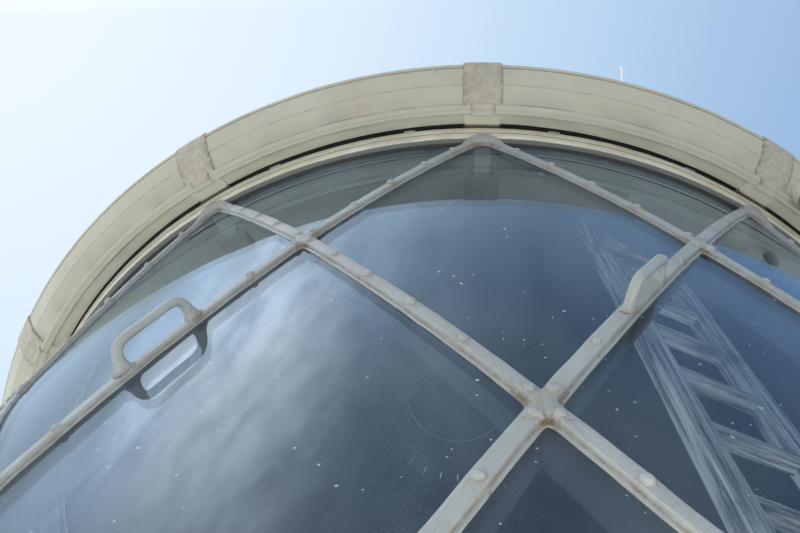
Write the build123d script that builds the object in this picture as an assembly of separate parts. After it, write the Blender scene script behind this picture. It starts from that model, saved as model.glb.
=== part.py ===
from build123d import *
import math
import os

# Lighthouse lantern glazed with a helical lattice. Millimetres and degrees, Z up.
# The origin is on the axis at the underside of the curb ring. The front is -Y, where two bars meet
# under the head ring. Angles round the axis are measured from the front, positive to the right.

# Lattice
bay_count = 12
row_count = 4
row_height = 812
face_radius = 1838
cover_width = 24
cover_thickness = 10
nose_width = 40
nose_thickness = 3
web_thickness = 14
bar_depth = 105
crossing_gap = 0.3
crossing_arm = 55
crossing_fillet = 14
end_plate_drop = 12

# Glass
glass_thickness = 12
glass_side_clearance = 5

# Curb ring
curb_flange_thickness = 22
curb_flange_width = 75
curb_inner_radius = 1700
curb_height = 120
curb_wall = 18
bolt_from_edge = 37
bolt_hole_radius = 13

# Head ring
ring_projection = 6
ring_height = 73
ring_flare = 23
ring_wall = 14
node_to_ring = 60

# Ventilation gap and cornice gutter. Each step of the gutter is a run outwards and a rise.
gap_height = 21
gutter_flange_width = 114
gutter_wall = 10
gutter_overhang = 7
fall_run = 45
gutter_fall = 38
sole_run = 27
slope_run = 61
slope_rise = 39
rim_run = 60
rim_rise = 68
gutter_joint = 4
bead_radius = 17
lip_height = 12
strap_width = 124
strap_thickness = 5
sleeve_width = 80
spacer_width = 36
spacer_length = 44
spacers_per_bay = 2

# Outlet of the gutter
outlet_angle = 33.5
outlet_radius = 37.5
outlet_wall = 5
outlet_length = 100
outlet_from_crease = 37

# Hand-holds on the bars that fall to the left
hold_spacing = 190
hold_projection = 62
hold_width = 22
hold_thickness = 18
hold_foot = 12
hold_corner = 24
hold_lean = 8
hold_rows = (1.5, 2.5, 3.5)

# Roof of flat panels between ribs
panels_per_bay = 2
eaves_overhang = 31
eaves_rise = 46
eaves_ring_width = 14
eaves_ring_setback = 121
roof_rise = 1000
roof_wall = 8
roof_joint = 4
rib_width = 46
rib_height = 28
neck_radius = 300
neck_height = 190
neck_wall = 8
crown_flange = 60
crown_clearance = 15
ball_radius = 345

# Inside ladder
ladder_angle = 22.5
ladder_face_radius = 1511
ladder_width = 350
stile_width = 60
stile_depth = 50
stile_above_ring = 260
tread_pitch = 250
tread_depth = 45
tread_thickness = 22
first_tread = 242
bracket_width = 45
bracket_thickness = 10
bracket_lap = 25

# Worked out from the above
bay_angle = 360 / bay_count
half_bay = bay_angle / 2
glass_radius = face_radius - cover_thickness - nose_thickness
glass_inner = glass_radius - glass_thickness
frame_inner = face_radius - bar_depth
ring_radius = face_radius + ring_projection
curb_flange_radius = ring_radius + curb_flange_width
bottom_node = curb_height - node_to_ring
top_node = bottom_node + row_count * row_height
ring_bottom = top_node - node_to_ring
ring_top = ring_bottom + ring_height
ring_top_radius = ring_radius + ring_flare
cornice_base = ring_top + gap_height
gutter_inner_edge = ring_top_radius + gutter_overhang
fall_radius = gutter_inner_edge + fall_run
sole_radius = fall_radius + sole_run
crease_radius = sole_radius + slope_run
rim_radius = crease_radius + rim_run
rim_height = slope_rise - gutter_fall + rim_rise
panel_count = bay_count * panels_per_bay
half_panel = 180 / panel_count
eaves_radius = gutter_inner_edge + eaves_overhang
eaves_height = cornice_base + eaves_rise
roof_pitch = math.degrees(math.atan2(roof_rise, eaves_radius - neck_radius))


def turned(shape, angle):
    return shape.rotate(Axis.Z, angle)


def at_angle(shape, angle):
    """A shape drawn towards +X, carried round to an angle from the front."""
    return shape.rotate(Axis.Z, angle - 90)


def ring_from(profile, arc=360):
    """Revolve a profile drawn in radius and height round the axis."""
    return revolve(Plane.XZ * profile, Axis.Z, arc)


def band(inner, outer, low, high):
    return Polygon((inner, low), (outer, low), (outer, high), (inner, high), align=None)


# The section of a bar: a cover strip outside, a wider nose under it that holds the glass
# from outside, and a deep web that runs inwards between the panes.
def bar_section():
    cover = Pos(-cover_thickness / 2, 0) * Rectangle(cover_thickness, cover_width)
    nose = Pos(-cover_thickness - nose_thickness / 2, 0) * Rectangle(nose_thickness, nose_width)
    web_length = bar_depth - cover_thickness
    web = Pos(-cover_thickness - web_length / 2, 0) * Rectangle(web_length, web_thickness)
    return cover + nose + web


def bar_slope():
    """The lean of the bars from upright, in the unrolled face of the lattice."""
    return math.degrees(math.atan2(face_radius * math.radians(half_bay), row_height))


def helical_bar():
    """A bar that falls to the left from the top node, which is drawn towards +X."""
    pitch = row_height * 360 / half_bay
    spare = node_to_ring
    path = Helix(pitch, top_node - bottom_node + 2 * spare, face_radius)
    start = Plane(origin=path @ 0, x_dir=(1, 0, 0), z_dir=path % 0)
    bar = sweep(start * bar_section(), path, is_frenet=True)
    turn = (row_count + spare / row_height) * half_bay
    bar = turned(Pos(0, 0, bottom_node - spare) * bar, -turn)
    between = ring_bottom - curb_height
    slab = Pos(0, 0, curb_height + between / 2) * Box(3 * face_radius, 3 * face_radius, between)
    return bar & slab


def at_node(shape, row, side):
    """Carry a shape from the axis to a node on a bar, counted in rows down from the top."""
    return turned(Pos(face_radius, 0, top_node - row * row_height) * shape, side * row * half_bay)


def slot_along(lean, depth, width, length):
    """A slot that opens outwards from a depth below the face, along a line that leans."""
    room = Box(depth + ring_flare, width, length, align=(Align.MIN, Align.CENTER, Align.CENTER))
    return Rot(lean, 0, 0) * (Pos(-depth, 0, 0) * room)


def is_end(row):
    """The first and last rows of nodes lie behind the rings."""
    return row in (0, row_count)


def arm_length(row):
    """How far the arms of a cover reach from their node."""
    hidden = node_to_ring / math.cos(math.radians(bar_slope())) if is_end(row) else 0
    return hidden + crossing_arm


def cover_slot(lean, row):
    """Room for the cover of a crossing in the cover strip of a bar."""
    return slot_along(lean, cover_thickness, 2 * cover_width, 2 * (arm_length(row) + crossing_gap))


def left_bar():
    """The bars that fall to the left run through, with only their cover strips cut at the nodes."""
    bar = helical_bar()
    for row in range(row_count + 1):
        bar = bar - at_node(cover_slot(-bar_slope(), row), row, -1)
    return bar


def right_bar():
    """The bars that fall to the right are in lengths that fit between the left ones."""
    bar = mirror(helical_bar(), Plane.XZ)
    lean = -bar_slope()
    reach = 4 * nose_width
    nose_slot = slot_along(lean, cover_thickness + nose_thickness, nose_width + 2 * crossing_gap, reach)
    web_slot = slot_along(lean, 2 * bar_depth, web_thickness + 2 * crossing_gap, reach)
    for row in range(row_count + 1):
        bar = bar - at_node(cover_slot(-lean, row), row, 1)
        if not is_end(row):
            bar = bar - at_node(web_slot, row, 1) - at_node(nose_slot, row, 1)
    return bar


def crossing_outline(row):
    """The arms of a cover round its node, drawn sideways and upwards."""
    arm = Rectangle(cover_width, 2 * arm_length(row))
    cross = Rot(0, 0, bar_slope()) * arm + Rot(0, 0, -bar_slope()) * arm
    if not is_end(row):
        notches = cross.vertices().filter_by(lambda v: v.center().length < crossing_arm - cover_width)
        return fillet(notches, crossing_fillet)
    reach = (node_to_ring + end_plate_drop) * (1 if row else -1)
    half = reach * math.tan(math.radians(bar_slope()))
    return cross + Polygon((0, 0), (half, reach), (-half, reach), align=None)


def crossing_cover(row):
    """The cover over a crossing: a cross, or under a ring the fork where two bars meet."""
    place = Plane(origin=(face_radius, 0, top_node - row * row_height), x_dir=(0, 1, 0), z_dir=(1, 0, 0))
    plate = extrude(place * crossing_outline(row), -(cover_thickness - crossing_gap))
    between = ring_bottom - curb_height
    return plate & (Pos(face_radius, 0, curb_height + between / 2) * Box(face_radius, face_radius, between))


def pane(row):
    """One curved pane towards +X, centred on a row of crossings counted from the top."""
    half_width = face_radius * math.sin(math.radians(half_bay))
    diagonal = math.hypot(half_width, row_height)
    margin = web_thickness / 2 + glass_side_clearance
    wide = half_width - margin * diagonal / row_height
    tall = row_height - margin * diagonal / half_width
    diamond = Polygon((wide, 0), (0, tall), (-wide, 0), (0, -tall), align=None)
    height = top_node - row * row_height
    prism = extrude(Plane(origin=(0, 0, height), x_dir=(0, 1, 0), z_dir=(1, 0, 0)) * diamond, 2 * face_radius)
    shell = ring_from(band(glass_inner, glass_radius, curb_height, ring_bottom))
    return prism & shell


def curb_ring():
    flange = band(curb_inner_radius, curb_flange_radius, 0, curb_flange_thickness)
    upstand = band(ring_radius - curb_wall, ring_radius, curb_flange_thickness, curb_height)
    shelf = band(frame_inner, ring_radius, curb_height - curb_wall, curb_height)
    ring = ring_from(flange + upstand + shelf)
    holes = PolarLocations(curb_flange_radius - bolt_from_edge, bay_count, half_bay - 90)
    return ring - holes * Cylinder(bolt_hole_radius, 3 * curb_flange_thickness)


def head_ring():
    """A channel open to the inside, whose face flares outwards to the top."""
    outline = Polygon(
        (frame_inner, ring_bottom),
        (ring_radius, ring_bottom),
        (ring_top_radius, ring_top),
        (frame_inner, ring_top),
        align=None,
    )
    hollow = Polygon(
        (frame_inner, ring_bottom + ring_wall),
        (ring_radius - ring_wall, ring_bottom + ring_wall),
        (ring_top_radius - ring_wall, ring_top - ring_wall),
        (frame_inner, ring_top - ring_wall),
        align=None,
    )
    return ring_from(outline - hollow)


# The gutter is a trough. These points run along its under side, from the flange over the
# head ring to the rim, and the upper side repeats them one wall higher.
def gutter_line():
    return [
        (gutter_inner_edge - gutter_flange_width, cornice_base),
        (gutter_inner_edge, cornice_base),
        (fall_radius, cornice_base - gutter_fall),
        (sole_radius, cornice_base - gutter_fall),
        (crease_radius, cornice_base - gutter_fall + slope_rise),
        (rim_radius, cornice_base + rim_height),
    ]


def raised(points, rise):
    return [(radius, height + rise) for radius, height in points]


def strip(points, rise):
    return Polygon(*points, *reversed(raised(points, rise)), align=None)


def half_bead(radius):
    """The lower half of a round bead under the sole of the gutter."""
    centre = Pos((fall_radius + sole_radius) / 2, cornice_base - gutter_fall)
    return centre * (Circle(radius) & Rectangle(2 * radius, radius, align=(Align.CENTER, Align.MAX)))


def gutter_profile():
    lip = band(
        rim_radius - gutter_wall,
        rim_radius,
        cornice_base + rim_height,
        cornice_base + rim_height + gutter_wall + lip_height,
    )
    return strip(gutter_line(), gutter_wall) + half_bead(bead_radius) + lip


def gutter_segment():
    joint = math.degrees(gutter_joint / crease_radius)
    segment = ring_from(gutter_profile(), bay_angle - joint)
    return turned(segment, joint / 2)


def joint_strap():
    """A collar under one joint of the gutter, with a sleeve round the bead."""
    width = math.degrees(strap_width / crease_radius)
    line = gutter_line()[1:]
    collar = strip(raised(line, -strap_thickness), strap_thickness)
    heel = band(gutter_inner_edge - spacer_length, gutter_inner_edge, ring_top, cornice_base)
    wide = (collar + heel) - gutter_profile()
    narrow = (collar + heel + half_bead(bead_radius + strap_thickness)) - gutter_profile()
    turn = math.degrees(sleeve_width / crease_radius)
    return turned(ring_from(wide, width), -width / 2) + turned(ring_from(narrow, turn), -turn / 2)


def gap_spacer():
    radius = ring_top_radius - spacer_length / 2
    return Pos(radius, 0, ring_top + gap_height / 2) * Box(spacer_length, spacer_width, gap_height)


def outlet():
    """The pipe under the gutter, cut to the gutter's under side."""
    tube = Cylinder(outlet_radius, outlet_length) - Cylinder(outlet_radius - outlet_wall, outlet_length)
    tube = Pos(crease_radius - outlet_from_crease, 0, cornice_base - outlet_length / 2) * tube
    above = ring_from(Polygon(
        (gutter_inner_edge, cornice_base + rim_height),
        *gutter_line()[1:],
        align=None,
    ))
    return tube - above - ring_from(gutter_profile())


def hold_outline(half, reach, corner):
    """One side of a grip: a bridge that stands on a bar, narrower at its rounded top."""
    top = half - hold_lean
    bridge = Polygon((0, -half), (reach, -top), (reach, top), (0, half), align=None)
    corners = bridge.vertices().filter_by(lambda v: v.X > reach / 2)
    return fillet(corners, corner)


def hand_hold():
    """A grip that stands out from a bar, drawn along Y and standing out along X."""
    half = (hold_spacing + hold_thickness) / 2
    grip = hold_outline(half, hold_projection, hold_corner)
    inner_corner = hold_corner - hold_thickness / 2
    grip = grip - hold_outline(half - hold_thickness, hold_projection - hold_thickness, inner_corner)
    place = half - hold_thickness / 2
    foot_half = hold_thickness / 2 + hold_foot
    foot = Polygon((0, -foot_half), (hold_foot, 0), (0, foot_half), align=None)
    grip = grip + Pos(0, -place) * foot + Pos(0, place) * foot
    return extrude(grip, hold_width / 2, both=True)


def hand_hold_on_bar(row):
    hold = Rot(90 - bar_slope(), 0, 0) * hand_hold()
    hold = Pos(face_radius, 0, top_node - row * row_height) * hold
    return turned(hold, -row * half_bay)


def roof_cone(offset):
    """The solid under the roof, many-sided, with its faces moved outwards by an offset."""
    spread = offset / math.sin(math.radians(roof_pitch))
    top = neck_radius / 2
    rise = (eaves_radius - top) * math.tan(math.radians(roof_pitch))
    low = RegularPolygon(eaves_radius + spread, panel_count, major_radius=False, rotation=half_panel)
    high = RegularPolygon(top + spread, panel_count, major_radius=False, rotation=half_panel)
    return loft([Pos(0, 0, eaves_height) * low, Pos(0, 0, eaves_height + rise) * high])


def roof_panel():
    """A flat panel towards +X, with half a joint along each side."""
    pitch = math.radians(roof_pitch)
    length = math.hypot(roof_rise, eaves_radius - neck_radius)

    def half_width(radius):
        return radius * math.tan(math.radians(half_panel)) - roof_joint / 2

    low = half_width(eaves_radius)
    high = half_width(neck_radius)
    place = Plane((eaves_radius, 0, eaves_height), x_dir=(0, 1, 0), z_dir=(math.sin(pitch), 0, math.cos(pitch)))
    outline = Polygon((-low, 0), (low, 0), (high, length), (-high, length), align=None)
    return extrude(place * outline, roof_wall)


def roof_rib():
    """A rib over the joint of two panels, with its under side cut to both of them."""
    pitch = math.radians(roof_pitch)
    turn = math.radians(half_panel)
    ridge = (eaves_radius + roof_wall / math.sin(pitch)) / math.cos(turn)
    run = (eaves_radius - neck_radius) / math.cos(turn)
    drop = rib_width / 2 * math.tan(math.asin(math.sin(pitch) * math.sin(turn)))
    half = rib_width / 2
    profile = Polygon((-half, -drop), (0, 0), (half, -drop), (half, rib_height), (-half, rib_height), align=None)
    place = Plane((ridge, 0, eaves_height), x_dir=(0, -1, 0), z_dir=(-run, 0, roof_rise))
    length = math.hypot(run, roof_rise) * (run - crown_flange - crown_clearance) / run
    return extrude(place * profile, length)


def eaves_ring():
    """The kerb between the gutter's flange and the roof."""
    low = cornice_base + gutter_wall
    outer = eaves_radius - eaves_ring_setback
    kerb = ring_from(band(outer - eaves_ring_width, outer, low, low + roof_rise))
    below = Pos(0, 0, eaves_height - roof_rise / 2) * Cylinder(eaves_radius, roof_rise)
    return kerb & (roof_cone(0) + below)


def neck_top():
    return eaves_height + roof_rise + neck_height


def roof_neck():
    """The tube at the top of the roof, with a collar that lies on the panels."""
    foot = eaves_height + roof_rise / 2
    tube = ring_from(band(neck_radius - neck_wall, neck_radius, foot, neck_top()))
    reach = ring_from(band(neck_radius - neck_wall, neck_radius + crown_flange, foot, neck_top()))
    collar = roof_cone(roof_wall + neck_wall) & reach
    return (tube + collar) - roof_cone(roof_wall)


def vent_ball():
    """A closed ball that stands on the neck with a flat foot."""
    rise = math.sqrt(ball_radius * ball_radius - neck_radius * neck_radius)
    centre = neck_top() + rise
    half_disc = Pos(0, centre) * Circle(ball_radius) & band(0, ball_radius, neck_top(), centre + ball_radius)
    return ring_from(half_disc)


def tread_tops():
    count = int((ring_top + stile_above_ring - first_tread) / tread_pitch)
    return [first_tread + place * tread_pitch for place in range(count + 1)]


def ladder_stiles():
    height = ring_top + stile_above_ring
    place = (ladder_width - stile_width) / 2
    stile = Pos(ladder_face_radius - stile_depth / 2, 0, height / 2) * Box(stile_depth, stile_width, height)
    return [Pos(0, side * place) * stile for side in (-1, 1)]


def ladder_treads():
    length = ladder_width - 2 * stile_width
    tread = Pos(ladder_face_radius - tread_depth / 2) * Box(tread_depth, length, tread_thickness)
    return [Pos(0, 0, top - tread_thickness / 2) * tread for top in tread_tops()]


def ladder_brackets():
    """Flat bars from the stiles to the shelf of the curb ring and the sole of the head ring."""
    place = (ladder_width - stile_width) / 2
    length = frame_inner + bracket_lap - ladder_face_radius
    bar = Pos(ladder_face_radius + length / 2) * Box(length, bracket_width, bracket_thickness)
    seats = (curb_height, ring_bottom + ring_wall)
    return [
        Pos(0, side * place, seat + bracket_thickness / 2) * bar
        for side in (-1, 1)
        for seat in seats
    ]


def all_round(shape, start=0, count=bay_count):
    """Copies of a shape drawn towards +X, from a starting angle, evenly round the axis."""
    return [at_angle(shape, start + place * 360 / count) for place in range(count)]


def save(shapes, name):
    export_step(Compound(children=list(shapes)), "parts/" + name + ".step")


os.makedirs("parts", exist_ok=True)

for number, (left, right) in enumerate(zip(all_round(left_bar()), all_round(right_bar()))):
    save(left.solids(), f"left_bar_{number + 1:02d}")
    save(right.solids(), f"right_bar_{number + 1:02d}")
covers = [cover for row in range(row_count + 1) for cover in all_round(crossing_cover(row), half_bay * (row % 2))]
save(covers, "crossing_covers")

pane_rows = ("top_panes", "upper_panes", "middle_panes", "lower_panes", "bottom_panes")
for row, name in enumerate(pane_rows):
    save(all_round(pane(row), half_bay * ((row + 1) % 2)), name)

hold_names = ("upper_hand_holds", "middle_hand_holds", "lower_hand_holds")
for row, name in zip(hold_rows, hold_names):
    save(all_round(hand_hold_on_bar(row)), name)

save([curb_ring()], "curb_ring")
save([head_ring()], "head_ring")
save(all_round(gutter_segment()), "cornice_gutter")
save(all_round(joint_strap()), "joint_straps")
spacer_count = bay_count * spacers_per_bay
save(all_round(gap_spacer(), 180 / spacer_count, spacer_count), "gap_spacers")
save([at_angle(outlet(), outlet_angle)], "gutter_outlet")
save([eaves_ring()], "eaves_ring")
save(all_round(roof_panel(), half_panel, panel_count), "roof_panels")
save(all_round(roof_rib(), 0, panel_count), "roof_ribs")
save([roof_neck()], "roof_neck")
save([vent_ball()], "vent_ball")
save([at_angle(stile, ladder_angle) for stile in ladder_stiles()], "ladder_stiles")
save([at_angle(tread, ladder_angle) for tread in ladder_treads()], "ladder_treads")
save([at_angle(bracket, ladder_angle) for bracket in ladder_brackets()], "ladder_brackets")
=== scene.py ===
import bpy
import numpy as np
from mathutils import Matrix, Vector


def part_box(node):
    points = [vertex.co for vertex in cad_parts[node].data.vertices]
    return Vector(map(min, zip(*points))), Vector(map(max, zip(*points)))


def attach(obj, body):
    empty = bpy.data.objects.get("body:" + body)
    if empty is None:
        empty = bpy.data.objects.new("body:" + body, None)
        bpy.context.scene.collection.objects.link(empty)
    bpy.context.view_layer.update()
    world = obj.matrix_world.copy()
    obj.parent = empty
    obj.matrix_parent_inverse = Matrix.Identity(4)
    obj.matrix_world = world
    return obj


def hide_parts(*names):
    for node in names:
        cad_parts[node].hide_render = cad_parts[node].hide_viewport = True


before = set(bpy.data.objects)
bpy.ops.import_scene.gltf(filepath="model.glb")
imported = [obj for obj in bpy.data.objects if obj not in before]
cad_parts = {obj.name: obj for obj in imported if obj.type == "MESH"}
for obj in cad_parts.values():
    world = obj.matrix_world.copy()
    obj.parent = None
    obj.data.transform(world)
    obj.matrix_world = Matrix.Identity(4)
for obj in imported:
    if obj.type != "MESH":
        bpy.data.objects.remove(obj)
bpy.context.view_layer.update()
print("frame loaded:", len(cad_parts), "nodes")

# Metres and radians. Angles round the drum are measured from the front, -Y, positive to the right.
lattice = {
    "bays": 12,
    "rows": 4,
    "rowHeight": 0.812,
    "faceRadius": 1.838,
    "topNode": 3.308,
    "glassRadius": 1.825,
    "glassInner": 1.813,
}
rowHeight, topNode = lattice["rowHeight"], lattice["topNode"]
faceRadius, glassRadius = lattice["faceRadius"], lattice["glassRadius"]
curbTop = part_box("curb_ring")[1].z
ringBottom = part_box("head_ring")[0].z
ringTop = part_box("head_ring")[1].z
bay = 2 * np.pi / lattice["bays"]
slope = np.arctan2(faceRadius * bay / 2, rowHeight)
bayAngles = np.arange(lattice["bays"]) * bay


def stacked(*parts):
    # the parts, stretched to one shape, side by side along a new last axis
    return np.stack(np.broadcast_arrays(*parts), axis=-1)


def onDrum(angle, height, radius):
    # x is radius times sine of the angle, y is minus radius times its cosine
    return stacked(radius * np.sin(angle), -radius * np.cos(angle), height)


def ripple(places, length, seed):
    # the mean of eight sine waves that run in seeded directions, each about one length long
    seeded = np.random.default_rng(seed)
    waves = seeded.normal(size=(places.shape[-1], 8)) * 4 / length
    return np.sin(places @ waves + seeded.uniform(0, 6.283, 8)).mean(-1) * 2


def runLength(line):
    # how far each point of a line lies from its first point, measured along the line
    return np.concatenate([[0], np.cumsum(np.linalg.norm(np.diff(line, axis=0), axis=1))])


def unit(vectors):
    return vectors / np.linalg.norm(vectors, axis=-1, keepdims=True)


def softCorners(corners, cuts, steps=4, closed=True):
    # each corner becomes a curve (1-t)^2 A + 2t(1-t) C + t^2 B between points cut back along its edges
    corners = np.asarray(corners, float)
    cuts = np.broadcast_to(np.asarray(cuts, float), len(corners))[:, None]
    before = unit(np.roll(corners, 1, axis=0) - corners)
    after = unit(np.roll(corners, -1, axis=0) - corners)
    start, end = corners + before * cuts, corners + after * cuts
    t = np.linspace(0, 1, steps)[None, :, None]
    curve = (1 - t) ** 2 * start[:, None] + 2 * t * (1 - t) * corners[:, None] + t * t * end[:, None]
    if closed:
        return curve.reshape(-1, corners.shape[1])
    inner = curve[1:-1].reshape(-1, corners.shape[1])
    return np.concatenate([corners[:1], inner, corners[-1:]])


def tubeFaces(points, offset, looped):
    # quads between neighbouring rings of points, and a flat cap on each end unless the tube meets itself
    count = len(points)
    index = np.arange(points[..., 0].size).reshape(points.shape[:3])
    rows = index if looped else index[:, :-1]
    following = np.roll(index, -1, axis=1)[:, : rows.shape[1]]
    sides = [rows, np.roll(rows, -1, axis=2), np.roll(following, -1, axis=2), following]
    quads = np.stack(sides, -1).reshape(-1, 4)
    caps = np.concatenate([index[:, 0, ::-1], index[:, -1]])
    # the sum of a . (b x c) over the faces of the first tube has the sign of its volume
    first = points[0].reshape(-1, 3) - points[0].reshape(-1, 3).mean(0)
    own = quads[: len(quads) // count]
    volume = 0
    for b, c in ((1, 2), (2, 3)):
        volume += np.einsum("ij,ij->", first[own[:, 0]], np.cross(first[own[:, b]], first[own[:, c]]))
    for cap in () if looped else (caps[0], caps[count]):
        fan = first[cap]
        hub = np.broadcast_to(fan[0], fan[2:].shape)
        volume += np.einsum("ij,ij->", np.cross(fan[1:-1], fan[2:]), hub)
    if volume < 0:
        quads, caps = quads[:, ::-1], caps[:, ::-1]
    return quads + offset, caps[:0] if looped else caps + offset


def tubeMesh(name, tubes, material, replaced=(), looped=False):
    # a tube is its points, count x rings x points round a ring x 3, and after them, where it has them,
    # the place that its paint follows, how stained it is and how much painted shade it takes
    vertices, loops, sizes, offset = [], [], [], 0
    columns = list(zip(*tubes))
    for points in columns[0]:
        quads, caps = tubeFaces(points, offset, looped)
        vertices.append(points.reshape(-1, 3))
        loops += [quads.ravel(), caps.ravel()]
        sizes += [np.full(len(quads), 4), np.full(len(caps), caps.shape[1])]
        offset += vertices[-1].shape[0]
    vertices, loops, sizes = np.concatenate(vertices), np.concatenate(loops), np.concatenate(sizes)
    mesh = bpy.data.meshes.new(name)
    mesh.vertices.add(len(vertices))
    mesh.vertices.foreach_set("co", vertices.astype(np.float32).ravel())
    mesh.loops.add(len(loops))
    mesh.loops.foreach_set("vertex_index", loops.astype(np.int32))
    mesh.polygons.add(len(sizes))
    mesh.polygons.foreach_set("loop_start", (np.cumsum(sizes) - sizes).astype(np.int32))
    mesh.update(calc_edges=True)
    mesh.polygons.foreach_set("use_smooth", np.ones(len(sizes), bool))
    mesh.set_sharp_from_angle(angle=0.6)
    for label, column in zip(("paintPlace", "stain", "paintedShade"), columns[1:]):
        kind, field, axes = ("FLOAT_VECTOR", "vector", 4) if label == "paintPlace" else ("FLOAT", "value", 3)
        flat = [np.broadcast_to(value, points.shape[:axes]).ravel()
                for value, points in zip(column, columns[0])]
        data = mesh.attributes.new(label, kind, "POINT").data
        data.foreach_set(field, np.concatenate(flat).astype(np.float32))
    mesh.materials.append(material)
    piece = bpy.data.objects.new(name, mesh)
    bpy.context.scene.collection.objects.link(piece)
    for nodeName in replaced:
        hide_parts(nodeName)
    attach(piece, "root")


# Materials

def newMaterial(name):
    material = bpy.data.materials.new(name)
    material.use_nodes = True
    return material, material.node_tree, material.node_tree.nodes["Principled BSDF"]


def addNode(tree, kind, links=(), values=(), **settings):
    made = tree.nodes.new("ShaderNode" + kind)
    for label, value in settings.items():
        setattr(made, label, value)
    for socket, value in dict(values).items():
        made.inputs[socket].default_value = value
    for socket, source in dict(links).items():
        tree.links.new(source, made.inputs[socket])
    return made


def plug(made, socket, value):
    # a socket takes either the output of another node or a plain value
    if isinstance(value, bpy.types.NodeSocket):
        made.id_data.links.new(value, made.inputs[socket])
    else:
        made.inputs[socket].default_value = value


def blend(amount, first, second):
    # a colour mix; each of first and second is a colour or a socket
    made = addNode(amount.id_data, "Mix", {0: amount}, data_type="RGBA")
    for socket, value in ((6, first), (7, second)):
        plug(made, socket, value if isinstance(value, bpy.types.NodeSocket) else (*value, 1))
    return made.outputs[2]


def between(source, low, high, out=(0, 1)):
    # carries the range from low to high over to the range out, and holds what lies past it
    limits = {"From Min": low, "From Max": high, "To Min": out[0], "To Max": out[1]}
    return addNode(source.id_data, "MapRange", {"Value": source}, limits).outputs["Result"]


def maths(operation, first, second):
    # first is a socket, and its tree gets the node
    made = addNode(first.id_data, "Math", {0: first}, operation=operation)
    plug(made, 1, second)
    return made.outputs["Value"]


def times(first, second):
    return maths("MULTIPLY", first, second)


def plus(first, second):
    return maths("ADD", first, second)


def vectorMaths(operation, links, values=(), output="Value"):
    return addNode(links[0].id_data, "VectorMath", links, values, operation=operation).outputs[output]


def noise(vector, scale, detail=5, rough=0.6, stretch=(1, 1, 1)):
    mapped = addNode(vector.id_data, "Mapping", {"Vector": vector}, {"Scale": stretch}).outputs["Vector"]
    grain = {"Scale": scale, "Detail": detail, "Roughness": rough}
    return addNode(vector.id_data, "TexNoise", {"Vector": mapped}, grain).outputs["Fac"]


def attribute(tree, label, output="Fac"):
    return addNode(tree, "Attribute", attribute_name=label).outputs[output]


def paintMaterial(name, look):
    # base coat, patches of an older coat, dirt in brush streaks, rust round joints, chips and grit, with
    # bumps of brush, lumps and grit;
    # painted shade on undersides, behind the glass and where an attribute says, and painted light on faces
    # turned to the middle where the look says
    material, tree, shader = newMaterial(name)
    coordinates = addNode(tree, "TexCoord").outputs
    place, normal = coordinates["Object"], coordinates["Normal"]
    along = attribute(tree, "paintPlace", "Vector") if look["follows"] else place
    patches = noise(place, look["patchScale"], 6, 0.65)
    brush = noise(along, 1, 4, 0.55, look["brush"])
    grit = noise(place, look["gritScale"], 3, 0.7)
    colour = blend(between(patches, *look["patchFrom"]), look["base"], look["older"])
    dirty = times(between(brush, *look["dirtFrom"]), look["dirtShare"])
    colour = blend(dirty, colour, look["dirt"])
    rustSpread = between(noise(place, look["rustScale"], 5), *look["rustFrom"])
    rusty = times(attribute(tree, "stain"), rustSpread)
    colour = blend(rusty, colour, look["rust"])
    specks = noise(place, look["chipScale"], 4, 0.6)
    chips = between(specks, look["chipFrom"], look["chipFrom"] + look["chipEdge"])
    colour = blend(chips, colour, look["chip"])
    fine = between(grit, *look["gritFrom"], (0, look["gritShare"]))
    colour = blend(fine, colour, look["dirt"])
    # painted shade: faces that look down, out to a given radius, take a darker colour for the underside
    flat = vectorMaths("MULTIPLY", {0: place}, {1: (1, 1, 0)}, "Vector")
    reach = vectorMaths("LENGTH", {0: flat})
    facing = addNode(tree, "SeparateXYZ", {0: normal}).outputs["Z"]
    within = between(reach, look["underWithin"], look["underWithin"] + 0.01, (1, 0))
    under = times(between(facing, *look["underFrom"], (1, 0)), within)
    colour = blend(under, colour, look["under"])
    # parts behind the glass, and faces turned to the middle, take the inside colour: painted shade where it
    # is dark, for the dim inside of the lantern, and painted light where it is pale, as on the cornice
    inward = vectorMaths("DOT_PRODUCT", {0: flat, 1: normal})
    behind = times(between(reach, *look["behindFrom"], (1, 0)), look["behindShare"])
    turned = times(between(inward, *look["turnedFrom"], (1, 0)), look["turnedShare"])
    inside = maths("MAXIMUM", behind, turned)
    colour = blend(inside, colour, look["inside"])
    # painted shade: a near-black colour, as far as the attribute for painted shade says
    colour = blend(attribute(tree, "paintedShade"), colour, look["paintedShade"])
    plug(shader, "Base Color", colour)
    # what is inside has no gloss and no bumps, and neither has an underside where the look says so
    hidden = maths("MAXIMUM", inside, times(under, look["underDull"]))
    plug(shader, "Specular IOR Level", between(hidden, 0, 1, look["gloss"]))
    plug(shader, "Roughness", between(brush, *look["roughFrom"], look["roughness"]))
    height = times(brush, look["brushHeight"])
    height = plus(height, noise(place, look["lumpScale"], 4))
    fineLumps = noise(place, look["fineLumpScale"], 3)
    height = plus(height, times(fineLumps, look["fineLumpHeight"]))
    height = plus(height, times(grit, look["gritHeight"]))
    height = maths("SUBTRACT", height, times(chips, look["chipDepth"]))
    height = times(height, between(hidden, 0, 1, (1, 0)))
    depth = {"Strength": look["bump"], "Distance": look["bumpDepth"]}
    bump = addNode(tree, "Bump", {"Height": height}, depth)
    plug(shader, "Normal", bump.outputs["Normal"])
    return material


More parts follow.
